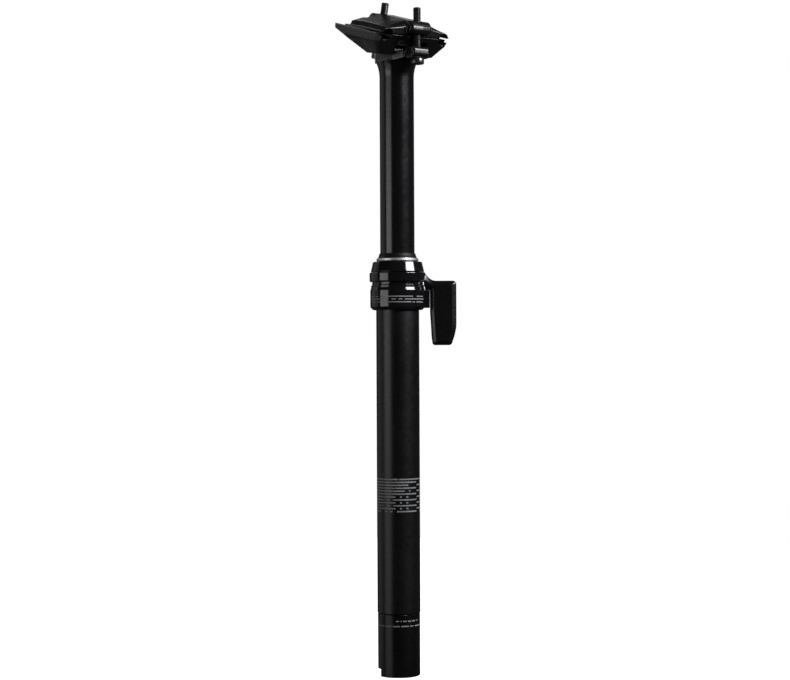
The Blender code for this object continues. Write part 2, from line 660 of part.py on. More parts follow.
def build_head():
    spigot = STANCHION_BORE_R - 0.1 * MM
    seat = STANCHION_TOP + GAP
    outline = [
        (4.2 * MM, 351.0 * MM),
        (spigot, 351.0 * MM),
        (spigot, seat),
        (12.6 * MM, seat),
        (12.2 * MM, seat + 0.7 * MM),
        (0, seat + 0.7 * MM),
        (0, 366.0 * MM),
        (4.2 * MM, 366.0 * MM),
    ]
    head = link("head_forging", turned("head_forging", outline), "forged_black")
    ears = extruded("head_ears", ear_outline(), -BOSS_WIDTH / 2, BOSS_WIDTH / 2)
    tool = join(head, ears)
    half_plan = [(-28.0, 4.6), (-25.0, 5.6), (-16.5, 6.0), (-8.5, 10.2)]
    half_plan += [(8.0, 10.2), (17.0, 7.0), (25.2, 6.6), (27.6, 4.6)]
    plan = half_plan + [(x, -y) for x, y in reversed(half_plan)]
    keep(tool, extruded("ear_plan", [(x * MM, y * MM) for x, y in plan], 380 * MM, 405 * MM, "Z"))
    for washer, lean in ((FRONT_WASHER, bolt_lean("front")), (REAR_WASHER, bolt_lean("rear"))):
        groove = crosswise("washer_groove", WASHER_R + GAP, 30.0 * MM)
        cut(head, groove, washer, (0, lean, 0))
        slot = block("bolt_slot", (-4.0 * MM, -3.1 * MM, -4.0 * MM), (4.0 * MM, 3.1 * MM, 12.0 * MM))
        cut(head, slot, washer, (0, lean, 0))


def clamp_point(local):
    """A point of the clamp's own frame in the post's frame."""
    return Matrix.Rotation(CLAMP_TILT, 3, "Y") @ local + Vector((0, 0, BOSS_Z))


def bolt_lean(which):
    """How far that bolt leans forward of upright."""
    low = FRONT_WASHER if which == "front" else REAR_WASHER
    high = clamp_point(FRONT_NUT if which == "front" else REAR_NUT)
    return math.atan2(high.x - low.x, high.z - low.z)


def cradle_section(at, lean, half, rim, under_half, under):
    """One rib of the lower cradle in millimetres: a rim along each rail, and a hull that narrows below it."""
    top = (SEAM_HEIGHT - CLAMP_GAP / 2) / MM
    side = [(half, top), (half, rim), (half - 0.5, rim - 0.4), (under_half + 0.6, under + 0.8), (under_half, under)]
    loop = [(-y, z) for y, z in side] + side[::-1]
    return [((at + lean * (top - z)) * MM, y * MM, z * MM) for y, z in loop]


def build_cradle(clamp):
    ribs = [
        (-35.4, 0.2, 25.8, 8.8, 22.8, 7.0),
        (-30.0, 0.1, 25.8, 7.4, 22.6, 5.4),
        (-24.0, 0.0, 25.8, 6.4, 22.2, 3.6),
        (-4.0, 0.0, 25.8, 6.2, 19.8, -2.8),
        (11.8, -0.3, 25.8, 6.4, 20.0, -1.6),
        (18.6, -0.6, 25.2, 6.8, 19.8, -1.0),
    ]
    sections = [cradle_section(*rib) for rib in ribs]
    cradle = link("lower_cradle", lofted("lower_cradle", sections), "forged_black", clamp)
    channel_half = 10.6 * MM
    roof = 8.3 * MM
    seat_half = 6.6 * MM
    channel = [(-40.0 * MM, -9.0 * MM), (-40.0 * MM, roof), (-seat_half, roof), (-seat_half, 4.5 * MM)]
    channel += [(seat_half, 4.5 * MM), (seat_half, roof), (30.0 * MM, roof), (30.0 * MM, -9.0 * MM)]
    cut(cradle, extruded("ear_channel", channel, -channel_half, channel_half))
    cut(cradle, crosswise("boss_seat", BOSS_R + 0.2 * MM, 2 * channel_half))
    cut_rail_grooves(cradle)
    cut_bolt_slot(cradle, FRONT_NUT, bolt_lean("front") - CLAMP_TILT, 3.9 * MM)
    cut_bolt_slot(cradle, REAR_NUT, bolt_lean("rear") - CLAMP_TILT, 4.0 * MM)


def cut_rail_grooves(thing):
    for side in (-1, 1):
        outline = arc((side * RAIL_SPACING / 2, RAIL_HEIGHT), RAIL_GROOVE_R, 0, 345, 23)
        groove = lofted("rail_groove", [[(x, y, z) for y, z in outline] for x in (-45 * MM, 45 * MM)])
        cut(thing, groove)


def cut_bolt_slot(thing, nut, lean, half_length):
    """A slot for a bolt that swings a little about its nut."""
    slot = block("bolt_slot", (-half_length, -3.1 * MM, -30.0 * MM), (half_length, 3.1 * MM, 12.0 * MM))
    cut(thing, slot, nut, (0, lean, 0))


def clamp_section(along, side, crest, spine, flat):
    """One rib of the upper clamp in millimetres: a shoulder over each rail, and a flat spine between them."""
    low = (SEAM_HEIGHT + CLAMP_GAP / 2) / MM
    rise = spine - crest
    half = [
        (side, low),
        (side, low + 0.8),
        (side - 1.6, crest - 0.6),
        (21.2, crest),
        (16.8, crest + 0.28 * rise),
        (12.0, crest + 0.6 * rise),
        (flat + 1.4, crest + 0.9 * rise),
        (flat, spine),
    ]
    return [(along * MM, y * MM, z * MM) for y, z in half + [(-y, z) for y, z in reversed(half)]]


def nose_section(y, front):
    """One slice of the nose around the front nut, as far forward as front, in millimetres."""
    side = [
        (12.0, 13.4),
        (18.5, 12.95),
        (front - 2.4, 13.6),
        (front - 0.3, 15.2),
        (front, 16.6),
        (front - 0.5, 18.6),
        (front - 1.8, 20.3),
        (front - 3.2, 21.1),
        (front - 4.6, 21.35),
        (15.6, 21.4),
        (12.0, 19.6),
    ]
    return [(along * MM, y * MM, z * MM) for along, z in side]


def build_upper_clamp(clamp):
    ribs = [
        (-20.8, 24.6, 15.7, 21.1, 6.6),
        (-17.6, 25.6, 16.2, 21.4, 6.4),
        (-8.0, 25.6, 16.6, 21.4, 5.6),
        (8.0, 25.6, 16.6, 21.4, 5.6),
        (14.6, 25.6, 16.3, 21.2, 6.2),
        (17.2, 25.5, 16.1, 19.9, 7.2),
        (18.8, 25.3, 15.6, 17.6, 8.0),
    ]
    sections = [clamp_section(*rib) for rib in ribs]
    upper = link("upper_clamp", lofted("upper_clamp", sections), "forged_black", clamp)
    nose = [nose_section(y, front) for y, front in ((-8.2, 22.2), (-6.6, 23.8), (0.0, 24.6), (6.6, 23.8), (8.2, 22.2))]
    join(upper, lofted("front_nose", nose))
    rear_boss_r = NUT_R + 0.7 * MM
    join(upper, crosswise("rear_boss", rear_boss_r, REAR_NUT_LENGTH - 0.4 * MM, SMALL, (REAR_NUT.x, REAR_NUT.z)))
    front_bore, rear_bore = FRONT_NUT_LENGTH + 0.5 * MM, 30.0 * MM
    for name, nut, bore in (("front", FRONT_NUT, front_bore), ("rear", REAR_NUT, rear_bore)):
        lean = bolt_lean(name)
        cut(upper, crosswise("nut_bore", NUT_R + GAP, bore, SMALL, (nut.x, nut.z)))
        cut_bolt_slot(upper, nut, lean - CLAMP_TILT, 3.3 * MM)
    cut_rail_grooves(upper)


def build_bolt(name, washer, nut, length, nut_length, clamp):
    """One clamp bolt, on an empty at its washer's axis, and its barrel nut in the upper clamp."""
    lean = bolt_lean(name)
    swing = empty(f"{name}_bolt_swing", washer, (0, lean, 0))
    data = crosswise(f"{name}_barrel_washer", WASHER_R, WASHER_LENGTH)
    washer_piece = link(f"{name}_barrel_washer", data, "bolt_black", swing)
    cut(washer_piece, block("bearing_flat", (-5 * MM, -20 * MM, -9 * MM), (5 * MM, 20 * MM, -WASHER_FLAT)))
    bore = turned("washer_bore", rod_outline(BOLT_R + 0.25 * MM, -9 * MM, 9 * MM), 16)
    cut(washer_piece, bore)

    head_top = -WASHER_FLAT - GAP
    head_bottom = head_top - BOLT_HEAD_HEIGHT
    edge = 0.5 * MM
    outline = [
        (0, head_bottom),
        (BOLT_HEAD_R - edge, head_bottom),
        (BOLT_HEAD_R, head_bottom + edge),
        (BOLT_HEAD_R, head_top),
        (BOLT_R, head_top),
        (BOLT_R, length - edge),
        (BOLT_R - edge, length),
        (0, length),
    ]
    bolt = link(f"{name}_bolt", turned(f"{name}_bolt", outline, 20), "bolt_black", swing)
    socket = turned("hex_socket", rod_outline(2.3 * MM, head_bottom - MM, head_bottom + 2.2 * MM), 6)
    cut(bolt, socket)

    nut_piece = link(f"{name}_barrel_nut", crosswise(f"{name}_barrel_nut", NUT_R, nut_length), "bolt_black", clamp, nut)
    bore = turned("nut_thread", rod_outline(BOLT_HOLE_R, -9 * MM, 9 * MM), 16)
    cut(nut_piece, bore, nut, (0, lean - CLAMP_TILT, 0))


def build_clamp():
    clamp = empty("clamp_tilt_axis", (0, 0, BOSS_Z), (0, CLAMP_TILT, 0))
    build_cradle(clamp)
    build_upper_clamp(clamp)
    build_bolt("front", FRONT_WASHER, FRONT_NUT, FRONT_BOLT_LENGTH, FRONT_NUT_LENGTH, clamp)
    build_bolt("rear", REAR_WASHER, REAR_NUT, REAR_BOLT_LENGTH, REAR_NUT_LENGTH, clamp)


def main():
    clear_scene()
    build_foot()
    build_outer_tube()
    build_collar()
    build_lever()
    build_release_gear()
    build_gas_spring()
    build_stanchion()
    build_head()
    build_clamp()


main()
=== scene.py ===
"""The seatpost's visual model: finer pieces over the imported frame, node materials, a studio and a camera."""

import json
import math

import bmesh
import bpy
from mathutils import Matrix, Vector


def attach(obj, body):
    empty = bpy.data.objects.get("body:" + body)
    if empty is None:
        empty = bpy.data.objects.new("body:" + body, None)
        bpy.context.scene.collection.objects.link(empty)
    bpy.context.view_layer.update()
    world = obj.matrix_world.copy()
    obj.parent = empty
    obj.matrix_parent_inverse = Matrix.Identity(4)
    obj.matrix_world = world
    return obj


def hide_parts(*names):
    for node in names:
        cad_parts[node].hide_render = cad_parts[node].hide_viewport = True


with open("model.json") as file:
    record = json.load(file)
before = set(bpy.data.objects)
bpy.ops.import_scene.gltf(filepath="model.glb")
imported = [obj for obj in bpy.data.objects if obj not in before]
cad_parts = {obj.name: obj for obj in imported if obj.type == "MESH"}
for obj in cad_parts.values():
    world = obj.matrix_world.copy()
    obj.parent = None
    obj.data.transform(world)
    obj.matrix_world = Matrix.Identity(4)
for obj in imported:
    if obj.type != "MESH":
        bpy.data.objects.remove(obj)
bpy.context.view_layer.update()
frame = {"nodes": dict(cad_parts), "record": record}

MM = 0.001
ROUND = 160  # sides of the large round pieces
FINE = 64  # sides of the small round pieces

# The camera looks square on to the lever, which hangs at the right of the post
LEVER = math.radians(54.0)  # where the lever stands around the post
OPPOSITE = LEVER + math.pi
RIGHT = Vector((math.cos(LEVER), math.sin(LEVER), 0.0))
TOWARD = Vector((RIGHT.y, -RIGHT.x, 0.0))  # from the post to the camera
FACING = math.degrees(LEVER) - 90.0  # the side of the post that faces the camera

# The saddle clamp: its boss, its tilt, the washers' axes, and the nuts in the tilted clamp's own frame
BOSS_Z = 394.0 * MM
CLAMP_TILT = math.radians(14.75)
FRONT_WASHER = Vector((22.0 * MM, 0.0, 389.4 * MM))
REAR_WASHER = Vector((-19.2 * MM, 0.0, 397.5 * MM))
FRONT_NUT = Vector((18.1 * MM, 0.0, 17.2 * MM))
REAR_NUT = Vector((-19.6 * MM, 0.0, 17.0 * MM))


# ---------------------------------------------------------------- materials

def nodes_of(name):
    made = bpy.data.materials.new(name)
    made.use_nodes = True
    tree = made.node_tree
    return made, tree, tree.nodes["Principled BSDF"]


def noise(tree, scale, detail=4.0, stretch=(1, 1, 1), rough=0.55):
    """A noise texture in the piece's own coordinates, with its scale in lumps per metre."""
    where = tree.nodes.new("ShaderNodeTexCoord")
    place = tree.nodes.new("ShaderNodeMapping")
    place.inputs["Scale"].default_value = stretch
    tree.links.new(where.outputs["Object"], place.inputs["Vector"])
    made = tree.nodes.new("ShaderNodeTexNoise")
    made.inputs["Scale"].default_value = scale
    made.inputs["Detail"].default_value = detail
    made.inputs["Roughness"].default_value = rough
    tree.links.new(place.outputs["Vector"], made.inputs["Vector"])
    return made.outputs["Fac"]


def span(tree, value, low, high, start=0.3, end=0.7):
    """The value stretched from start..end to low..high."""
    made = tree.nodes.new("ShaderNodeMapRange")
    made.inputs["From Min"].default_value = start
    made.inputs["From Max"].default_value = end
    made.inputs["To Min"].default_value = low
    made.inputs["To Max"].default_value = high
    tree.links.new(value, made.inputs["Value"])
    return made.outputs["Result"]


def summed(tree, a, b, operation="ADD"):
    made = tree.nodes.new("ShaderNodeMath")
    made.operation = operation
    for socket, value in zip(made.inputs, (a, b)):
        if isinstance(value, float):
            socket.default_value = value
        else:
            tree.links.new(value, socket)
    return made.outputs["Value"]


def blended(tree, factor, dark, light):
    made = tree.nodes.new("ShaderNodeMix")
    made.data_type = "RGBA"
    made.inputs["A"].default_value = (*dark, 1.0)
    made.inputs["B"].default_value = (*light, 1.0)
    tree.links.new(factor, made.inputs["Factor"])
    return made.outputs["Result"]


def edge_wear(tree, amount):
    """Between 0 and about 1 along sharp convex edges, broken up by noise."""
    shape = tree.nodes.new("ShaderNodeNewGeometry")
    edge = span(tree, shape.outputs["Pointiness"], 0.0, amount, 0.53, 0.60)
    return summed(tree, edge, span(tree, noise(tree, 900), 0.2, 1.0), "MULTIPLY")


def finish(
    name,
    dark,
    light,
    rough,
    rough_spread=0.05,
    metallic=0.0,
    grain=4200,
    bump=0.004,
    lines=None,
    line_bump=0.0,
    wear=0.0,
    wear_colour=(0.10, 0.10, 0.10),
    specular=0.5,
    recess=0.0,
):
    """A metal, anodised or moulded finish. Bumps are in millimetres; recess dulls what lies deep in a gap."""
    made, tree, shader = nodes_of(name)
    cloudy = noise(tree, 38, 3.0)
    middling = noise(tree, 420, 6.0)
    fine = noise(tree, grain, 3.0)
    colour = blended(tree, span(tree, summed(tree, cloudy, middling), 0.0, 1.0, 0.7, 1.3), dark, light)
    if wear:
        mix = tree.nodes.new("ShaderNodeMix")
        mix.data_type = "RGBA"
        mix.inputs["B"].default_value = (*wear_colour, 1.0)
        tree.links.new(colour, mix.inputs["A"])
        tree.links.new(edge_wear(tree, wear), mix.inputs["Factor"])
        colour = mix.outputs["Result"]
    tree.links.new(colour, shader.inputs["Base Color"])
    roughness = span(tree, summed(tree, cloudy, middling), rough - rough_spread, rough + rough_spread, 0.7, 1.3)
    height = summed(tree, fine, bump, "MULTIPLY")
    if lines:
        stretch = (1.0, 1.0, 60.0) if lines == "around" else (60.0, 60.0, 1.0)
        strokes = noise(tree, 160, 4.0, stretch)
        roughness = summed(tree, roughness, span(tree, strokes, -rough_spread, rough_spread))
        height = summed(tree, height, summed(tree, strokes, line_bump, "MULTIPLY"))
    if recess:
        depth = tree.nodes.new("ShaderNodeAmbientOcclusion")
        depth.samples = 6
        depth.inputs["Distance"].default_value = 7 * MM
        roughness = summed(tree, roughness, span(tree, depth.outputs["AO"], recess, 0.0, 0.15, 0.6))
    tree.links.new(roughness, shader.inputs["Roughness"])
    raised = tree.nodes.new("ShaderNodeBump")
    raised.inputs["Strength"].default_value = 1.0
    raised.inputs["Distance"].default_value = MM
    tree.links.new(height, raised.inputs["Height"])
    tree.links.new(raised.outputs["Normal"], shader.inputs["Normal"])
    shader.inputs["Metallic"].default_value = metallic
    shader.inputs["Specular IOR Level"].default_value = specular
    return made


MATERIALS = {
    "tube_black": finish(
        "tube_black", (0.0014, 0.0014, 0.0017), (0.0027, 0.0027, 0.0031), 0.31, 0.04,
        lines="along", line_bump=0.0015, bump=0.002, wear=0.3, wear_colour=(0.02, 0.02, 0.02), specular=0.36,
    ),
    "stanchion_black": finish(
        "stanchion_black", (0.0020, 0.0020, 0.0024), (0.0034, 0.0034, 0.0039), 0.19, 0.03,
        lines="around", line_bump=0.0010, bump=0.0012, specular=0.44,
    ),
    "gloss_black": finish(
        "gloss_black", (0.0026, 0.0026, 0.0031), (0.0042, 0.0042, 0.0048), 0.10, 0.02,
        bump=0.0008, wear=0.35, wear_colour=(0.03, 0.03, 0.03),
    ),
    "satin_black": finish(
        "satin_black", (0.0016, 0.0015, 0.0019), (0.0028, 0.0027, 0.0031), 0.26, 0.04,
        grain=3600, bump=0.003, wear=0.8, wear_colour=(0.07, 0.07, 0.075), specular=0.46,
    ),
    "forged_black": finish(
        "forged_black", (0.0018, 0.0017, 0.0018), (0.0036, 0.0034, 0.0035), 0.28, 0.05,
        grain=2600, bump=0.005, wear=0.25, wear_colour=(0.02, 0.02, 0.02), specular=0.55, recess=0.5,
    ),
    "foot_black": finish(
        "foot_black", (0.0010, 0.0010, 0.0012), (0.0020, 0.0020, 0.0023), 0.27, 0.04,
        lines="around", line_bump=0.0012, bump=0.002, wear=0.3, wear_colour=(0.02, 0.02, 0.02), specular=0.30,
    ),
    "steel": finish(
        "steel", (0.42, 0.42, 0.43), (0.62, 0.61, 0.60), 0.24, 0.07,
        metallic=1.0, lines="around", line_bump=0.003, bump=0.002,
    ),
    "steel_dull": finish(
        "steel_dull", (0.46, 0.45, 0.45), (0.66, 0.65, 0.63), 0.46, 0.06,
        metallic=1.0, lines="around", line_bump=0.002, bump=0.002,
    ),
    "bolt_black": finish(
        "bolt_black", (0.005, 0.005, 0.0055), (0.012, 0.0115, 0.0115), 0.28, 0.07,
        specular=0.6, bump=0.004, wear=0.5, wear_colour=(0.06, 0.055, 0.05),
    ),
    "rubber": finish(
        "rubber", (0.0016, 0.0016, 0.0018), (0.0034, 0.0033, 0.0033), 0.50, 0.10,
        grain=3000, bump=0.012, specular=0.18,
    ),
    "brass": finish(
        "brass", (0.52, 0.36, 0.14), (0.74, 0.55, 0.26), 0.28, 0.07,
        metallic=1.0, lines="around", line_bump=0.003, bump=0.002,
    ),
    "polymer": finish(
        "polymer", (0.030, 0.030, 0.033), (0.055, 0.055, 0.058), 0.48, 0.08, grain=2200, bump=0.010,
    ),
    "ink": finish(
        "ink", (0.13, 0.13, 0.13), (0.24, 0.24, 0.24), 0.50, 0.08, grain=6000, bump=0.004, specular=0.3,
    ),
}


# ---------------------------------------------------------------- mesh tools

def mesh_from(work, name):
    bmesh.ops.remove_doubles(work, verts=work.verts, dist=0.001 * MM)
    bmesh.ops.recalc_face_normals(work, faces=work.faces)
    data = bpy.data.meshes.new(name)
    work.to_mesh(data)
    work.free()
    return data


def placed(name, data, location=(0, 0, 0), rotation=(0, 0, 0)):
    """An object whose place goes into its vertices, so that it stands at the origin."""
    thing = bpy.data.objects.new(name, data)
    bpy.context.scene.collection.objects.link(thing)
    where = Matrix.Translation(Vector(location)) @ Matrix.Rotation(rotation[2], 4, "Z")
    where = where @ Matrix.Rotation(rotation[1], 4, "Y") @ Matrix.Rotation(rotation[0], 4, "X")
    data.transform(where)
    return thing


def rounded(corners, soft=0.15, steps=4):
    """A closed (radius, height[, rounding]) outline in millimetres, its corners off the axis rounded."""
    points = []
    count = len(corners)
    for i, corner in enumerate(corners):
        here = Vector(corner[:2]) * MM
        size = (corner[2] if len(corner) > 2 else soft) * MM
        back = Vector(corners[i - 1][:2]) * MM - here
        ahead = Vector(corners[(i + 1) % count][:2]) * MM - here
        if size <= 0 or here.x <= 0:
            points.append(here)
            continue
        reach = min(size, back.length * 0.42, ahead.length * 0.42)
        hold = 0.12 * MM  # a loop beside the rounding keeps the flat side flat in shading
        if back.length > 4 * reach + hold:
            points.append(here + back.normalized() * (reach + hold))
        start = here + back.normalized() * reach
        end = here + ahead.normalized() * reach
        for s in range(steps + 1):
            t = s / steps
            points.append(start * (1 - t) ** 2 + here * 2 * t * (1 - t) + end * t * t)
        if ahead.length > 4 * reach + hold:
            points.append(here + ahead.normalized() * (reach + hold))
    return points


def turned(name, outline, sides=ROUND):
    """Mesh data of a closed (radius, height) outline turned about Z."""
    work = bmesh.new()
    corners = [work.verts.new((p[0], 0, p[1])) for p in outline]
    edges = []
    for here, there in zip(corners, corners[1:] + corners[:1]):
        if here.co.x > 0 or there.co.x > 0:
            edges.append(work.edges.new((here, there)))
    bmesh.ops.spin(work, geom=corners + edges, cent=(0, 0, 0), axis=(0, 0, 1), angle=2 * math.pi, steps=sides)
    return mesh_from(work, name)


def ring(inner, outer, low, high):
    return [(inner, low), (outer, low), (outer, high), (inner, high)]


def in_mm(outline):
    return [(r * MM, z * MM) for r, z in outline]


def extruded(name, outline, low, high, axis="Y"):
    work = bmesh.new()
    if axis == "Y":
        base = [work.verts.new((x, low, z)) for x, z in outline]
        step = Vector((0, high - low, 0))
    else:
        base = [work.verts.new((x, y, low)) for x, y in outline]
        step = Vector((0, 0, high - low))
    grown = bmesh.ops.extrude_face_region(work, geom=[work.faces.new(base)])
    bmesh.ops.translate(work, verts=[v for v in grown["geom"] if isinstance(v, bmesh.types.BMVert)], vec=step)
    return mesh_from(work, name)


def block(name, low, high):
    """Mesh data of a box between two corners, in millimetres."""
    outline = [(low[0] * MM, low[1] * MM), (high[0] * MM, low[1] * MM), (high[0] * MM, high[1] * MM)]
    outline.append((low[0] * MM, high[1] * MM))
    return extruded(name, outline, low[2] * MM, high[2] * MM, "Z")


def arc(centre, radius, start, end, steps):
    points = []
    for i in range(steps + 1):
        a = math.radians(start + (end - start) * i / steps)
        points.append((centre[0] + radius * math.cos(a), centre[1] + radius * math.sin(a)))
    return points


def crosswise(name, radius, length, centre=(0.0, 0.0), sides=FINE, edge=0.3):
    """Mesh data of a rod along Y with rounded ends, about (x, z) centre."""
    r, half = radius / MM, length / MM / 2
    data = turned(name, rounded([(0, -half), (r, -half, edge), (r, half, edge), (0, half)]), sides)
    data.transform(Matrix.Translation((centre[0], 0, centre[1])) @ Matrix.Rotation(math.pi / 2, 4, "X"))
    return data


def bake(thing):
    """Puts the object's modifiers into its mesh."""
    bpy.context.view_layer.update()
    evaluated = thing.evaluated_get(bpy.context.evaluated_depsgraph_get())
    data = bpy.data.meshes.new_from_object(evaluated)
    thing.modifiers.clear()
    thing.data = data
    return thing


def combine(thing, data, operation="DIFFERENCE", location=(0, 0, 0), rotation=(0, 0, 0)):
    tool = placed(f"{thing.name}_tool", data, location, rotation)
    step = thing.modifiers.new("combine", "BOOLEAN")
    step.operation = operation
    step.object = tool
    bake(thing)
    bpy.data.objects.remove(tool, do_unlink=True)


def bevelled(thing, width, segments=3, angle=38.0):
    step = thing.modifiers.new("bevel", "BEVEL")
    step.width = width * MM
    step.segments = segments
    step.limit_method = "ANGLE"
    step.angle_limit = math.radians(angle)
    return bake(thing)


def dressed(thing, body, nodes, slot, angle=35.0, weighted=False):
    """Shades the piece, gives it its finish and lets it stand for its CAD nodes."""
    data = thing.data
    data.shade_smooth()
    data.set_sharp_from_angle(angle=math.radians(angle))
    if weighted:
        step = thing.modifiers.new("normals", "WEIGHTED_NORMAL")
        step.keep_sharp = True
        step.weight = 80
    data.materials.clear()
    data.materials.append(MATERIALS[slot])
    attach(thing, body)
    if nodes:
        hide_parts(*nodes)
    return thing


# ---------------------------------------------------------------- tubes and foot

def key_angle(i):
    return LEVER + i * 2 * math.pi / 3


def build_tubes():
    tube = placed("outer_tube_drawn", turned("outer_tube_drawn", rounded(ring(12.4, 13.6, 39.8, 257.0), 0.22)))
    combine(tube, block("cam_window", (11, -1.15, 249.3), (15, 1.15, 253.0)), rotation=(0, 0, OPPOSITE))
    for i in range(3):
        combine(tube, block("keyway", (10.0, -1.45, 38.8), (13.05, 1.45, 188.0)), rotation=(0, 0, key_angle(i)))
    dressed(tube, "outer_post", ["outer_tube"], "tube_black")

    outline = [
        (9.6, 151.5), (10.9, 151.5), (10.9, 377.5, 0.9), (11.05, 380.0, 0.9), (11.5, 382.6, 0.9),
        (12.2, 384.9, 0.6), (12.8, 386.5, 0.12), (9.6, 386.5),
    ]
    inner = placed("stanchion_polished", turned("stanchion_polished", rounded(outline)))
    for i in range(3):
        pocket = block("key_pocket", (10.15, -1.4, 171.7), (12, 1.4, 184.3))
        combine(inner, pocket, rotation=(0, 0, key_angle(i)))
    dressed(inner, "stanchion", ["stanchion_tube"], "stanchion_black")


def build_foot():
    outline = [
        (11.0, 0, 0.1), (12.9, 0, 0.3), (13.35, 0.6, 0.3), (13.35, 39.1, 0.25), (13.0, 39.5, 0.2),
        (12.2, 39.5, 0.05), (12.2, 44.0), (11.0, 44.0),
    ]
    foot = placed("foot_turned", turned("foot_turned", rounded(outline)))
    flat = 13.35 - 1.9
    combine(foot, block("flat", (flat, -14, -1), (15, 14, 4.7)), rotation=(0, 0, OPPOSITE))
    combine(foot, block("rod_channel", (10.0, -1.15, 11.5), (12.35, 1.15, 45)), rotation=(0, 0, OPPOSITE))
    dimple = turned("dimple", rounded([(0, -0.55), (2.5, -0.55, 0.4), (3.1, 1.0), (0, 1.0)]), FINE)
    dimple.transform(Matrix.Translation((13.1 * MM, 0, 37.2 * MM)) @ Matrix.Rotation(math.pi / 2, 4, "Y"))
    combine(foot, dimple, rotation=(0, 0, math.radians(FACING + 31)))
    dressed(foot, "outer_post", ["foot_sleeve"], "tube_black", weighted=True)
    foot.data.materials[0] = MATERIALS["foot_black"]

    outline = rounded([(0, 0), (10.85, 0, 0.5), (10.85, 6.5), (0, 6.5)])
    plug = placed("foot_plug_turned", turned("foot_plug_turned", outline))
    for side in (-1, 1):
        hole = turned("pin_hole", in_mm([(0, -1), (1.2, -1), (1.2, 2.4), (0, 2.4)]), FINE)
        at = (side * 6.5 * MM * math.cos(OPPOSITE), side * 6.5 * MM * math.sin(OPPOSITE), 0)
        combine(plug, hole, location=at)
    dressed(plug, "outer_post", ["foot_plug"], "gloss_black", weighted=True)


# ---------------------------------------------------------------- printed marks

def ink_dash(work, radius, low, high, start, end):
    """One thin printed dash around the post, from start to end in degrees, as a closed curved strip."""
    steps = max(2, int(abs(end - start) / 3))
    inner, outer = (radius - 0.03) * MM, (radius + 0.015) * MM
    rows = []
    for i in range(steps + 1):
        a = math.radians(start + (end - start) * i / steps)
        row = []
        for r, z in ((inner, low), (outer, low), (outer, high), (inner, high)):
            row.append(work.verts.new((r * math.cos(a), r * math.sin(a), z * MM)))
        rows.append(row)
    for here, there in zip(rows, rows[1:]):
        for k in range(4):
            m = (k + 1) % 4
            work.faces.new((here[k], here[m], there[m], there[k]))
    work.faces.new(rows[0])
    work.faces.new(reversed(rows[-1]))


def printed(name, radius, rows, height, facing=FACING):
    """Rows of dashes as (height up the post, [(start, end), ...]) in degrees right of the side in view."""
    work = bmesh.new()
    for z, dashes in rows:
        for start, end in dashes:
            ink_dash(work, radius, z - height / 2, z + height / 2, facing + start, facing + end)
    thing = placed(name, mesh_from(work, name))
    return dressed(thing, "outer_post", None, "ink")


def build_prints():
    # The depth band: long rules, broken by short bars and dots
    rest = (57, 262)  # round the back of the tube
    broken = [(-98, -8), (4, 9), (21, 27), rest]
    band = [
        [(0, 360)],
        [(-98, 54), (75, 250)],
        [(-98, 27), rest],
        [(-98, 54), (75, 250)],
        [(-98, 17), (29, 34), rest],
        [(-98, 54), (75, 250)],
        broken,
        [(-72, -40), (-31, -25), (-15, 56), (75, 250)],
        broken,
        [(-72, -53), (-49, -42), (-31, -25), (-14, 56), (75, 250)],
        broken,
        [(-72, -53), (-39, -32), (-22, -16), (-4, 56), (75, 250)],
    ]
    top, pitch = 124.3, 1.83
    printed("depth_print", 13.6, [(top - pitch * i, row) for i, row in enumerate(band)], 0.8)

    collar = [
        (238.9, [(-75, -58), (-51, -44), (-38, 34), (44, 66), (100, 200)]),
        (237.2, [(-75, -19), (-13, -4), (2, 10), (15, 70), (100, 230)]),
        (235.4, [(-68, -55), (-46, -40), (-35, -22), (-19, 30), (33, 39), (43, 66), (100, 200)]),
    ]
    printed("collar_print", 17.3, collar, 0.62)

    foot = [(32.3, [(-72, -45), (-41, -22), (-17, 2), (6, 28), (32, 42), (48, 74), (80, 276)])]
    foot.append((35.5, [(-8, 0), (4, 7), (11, 21), (25, 33), (37, 49), (54, 60)]))
    printed("foot_print", 13.35, foot, 0.7)


# ---------------------------------------------------------------- collar and lever

